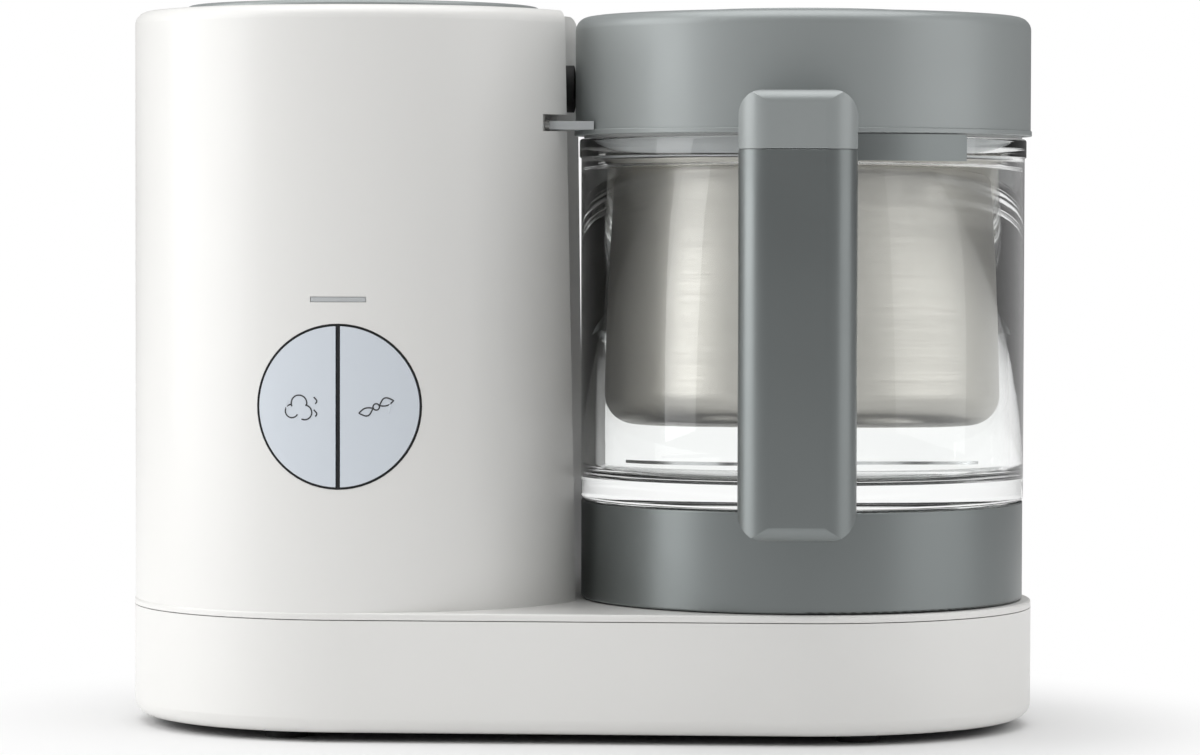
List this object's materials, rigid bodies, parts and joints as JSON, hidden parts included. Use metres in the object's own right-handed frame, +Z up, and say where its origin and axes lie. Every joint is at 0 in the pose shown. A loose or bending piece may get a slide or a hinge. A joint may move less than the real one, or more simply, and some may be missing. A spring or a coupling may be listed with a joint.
{
  "type": "baby food maker",
  "caption": "Steam-and-blend baby food maker: white tower with tank, motor and belt drive, glass bowl with steel basket, grey lid and handle.",
  "frame": {"origin": "on the floor under the middle of the object's box", "axes": "+X from the tower towards the bowl (longest extent), +Y to the back, +Z up"},
  "size_m": [0.305, 0.1858, 0.2427],
  "materials": {
    "white_plastic": "satin warm white moulding",
    "grey_plastic": "satin mid-grey moulding",
    "button_plastic": "satin pale blue-silver",
    "dark_plastic": "matt black moulding",
    "light_plastic": "translucent light-grey moulding",
    "board": "green circuit board",
    "glass": "clear, polished",
    "steel": "brushed stainless steel",
    "chrome": "polished",
    "aluminium": "cast, satin",
    "brass": "sintered bronze, dull",
    "rubber": "matt black",
    "silicone": "soft grey silicone"
  },
  "bodies": {
    "root": {"plinth_shell": "white_plastic", "bottom_plate": "dark_plastic", "rubber_feet": "rubber", "case_screws": "steel", "cord_gland": "rubber", "upper_housing": "white_plastic", "tank_cradle": "light_plastic", "heater_plate": "aluminium", "heating_element": "steel", "thermostats": "dark_plastic", "water_tank": "light_plastic", "steam_pipe": "silicone", "steam_nozzle": "rubber", "tank_lid_pin": "steel", "motor_bracket": "steel", "motor_can": "steel", "motor_magnets": "dark_plastic", "motor_end_cap": "dark_plastic", "drive_belt": "rubber", "spindle_housing": "aluminium", "spindle_bushes": "brass", "control_board": "board", "button_switches": "dark_plastic", "button_bezel": "dark_plastic", "steam_button_spring": "steel", "blend_button_spring": "steel", "indicator_lens": "chrome", "interlock_spring": "steel", "interlock_switch": "dark_plastic"},
    "tank_lid": {"tank_lid": "grey_plastic", "tank_lid_seal": "silicone"},
    "steam_button": {"steam_button": "button_plastic"},
    "blend_button": {"blend_button": "button_plastic"},
    "interlock": {"interlock_tab": "light_plastic"},
    "rotor": {"motor_rotor": "steel", "motor_pulley": "aluminium"},
    "spindle": {"spindle_shaft": "steel", "spindle_pulley": "dark_plastic", "drive_coupling": "dark_plastic"},
    "bowl": {"base_ring": "grey_plastic", "bowl_gasket": "silicone", "glass_bowl": "glass", "bowl_bush": "brass", "bowl_nut": "dark_plastic", "shaft_seal": "rubber", "handle": "grey_plastic", "handle_back": "grey_plastic", "handle_screws": "steel"},
    "blade": {"driven_coupling": "dark_plastic", "blade_shaft": "steel", "blade_hub": "dark_plastic", "lower_blade": "steel", "upper_blade": "steel"},
    "basket": {"steam_basket": "steel", "basket_floor": "steel", "basket_rim": "steel"},
    "lid": {"lid_cover": "grey_plastic", "lid_disc": "grey_plastic", "lid_liner": "light_plastic", "lid_seal": "silicone"}
  },
  "joints": [
    {"name": "tank_lid_hinge", "type": "hinge", "parent": "root", "child": "tank_lid", "pos_m": [-0.07475, 0.07933, 0.2382], "axis": [-1, 0, 0], "range_deg": [0, 85]},
    {"name": "steam_button_press", "type": "slide", "parent": "root", "child": "steam_button", "axis": [0, 1, 0], "range_m": [0, 0.0015], "stiffness_N_per_m": 400, "springref_m": -0.002, "deforming": ["steam_button_spring"]},
    {"name": "blend_button_press", "type": "slide", "parent": "root", "child": "blend_button", "axis": [0, 1, 0], "range_m": [0, 0.0015], "stiffness_N_per_m": 400, "springref_m": -0.002, "deforming": ["blend_button_spring"]},
    {"name": "interlock_press", "type": "slide", "parent": "root", "child": "interlock", "axis": [-1, 0, 0], "range_m": [0, 0.0015], "stiffness_N_per_m": 200, "springref_m": -0.002, "deforming": ["interlock_spring"]},
    {"name": "rotor_spin", "type": "hinge", "parent": "root", "child": "rotor", "pos_m": [-0.07475, 0.01512, 0.06], "axis": [0, 0, 1], "continuous": true},
    {"name": "spindle_spin", "type": "hinge", "parent": "root", "child": "spindle", "pos_m": [0.07475, 0.01512, 0.03], "axis": [0, 0, 1], "continuous": true},
    {"name": "bowl_lift", "type": "slide", "parent": "root", "child": "bowl", "axis": [0, 0, 1], "range_m": [0, 0.12]},
    {"name": "blade_spin", "type": "hinge", "parent": "bowl", "child": "blade", "pos_m": [0.07475, 0.01512, 0.08], "axis": [0, 0, 1], "continuous": true},
    {"name": "basket_lift", "type": "slide", "parent": "bowl", "child": "basket", "axis": [0, 0, 1], "range_m": [0, 0.11]},
    {"name": "lid_lift", "type": "slide", "parent": "basket", "child": "lid", "axis": [0, 0, 1], "range_m": [0, 0.08]}
  ],
  "couplings": [
    {"joint": "spindle_spin", "follows": "rotor_spin", "ratio": 0.25},
    {"joint": "blade_spin", "follows": "rotor_spin", "ratio": 0.25}
  ]
}
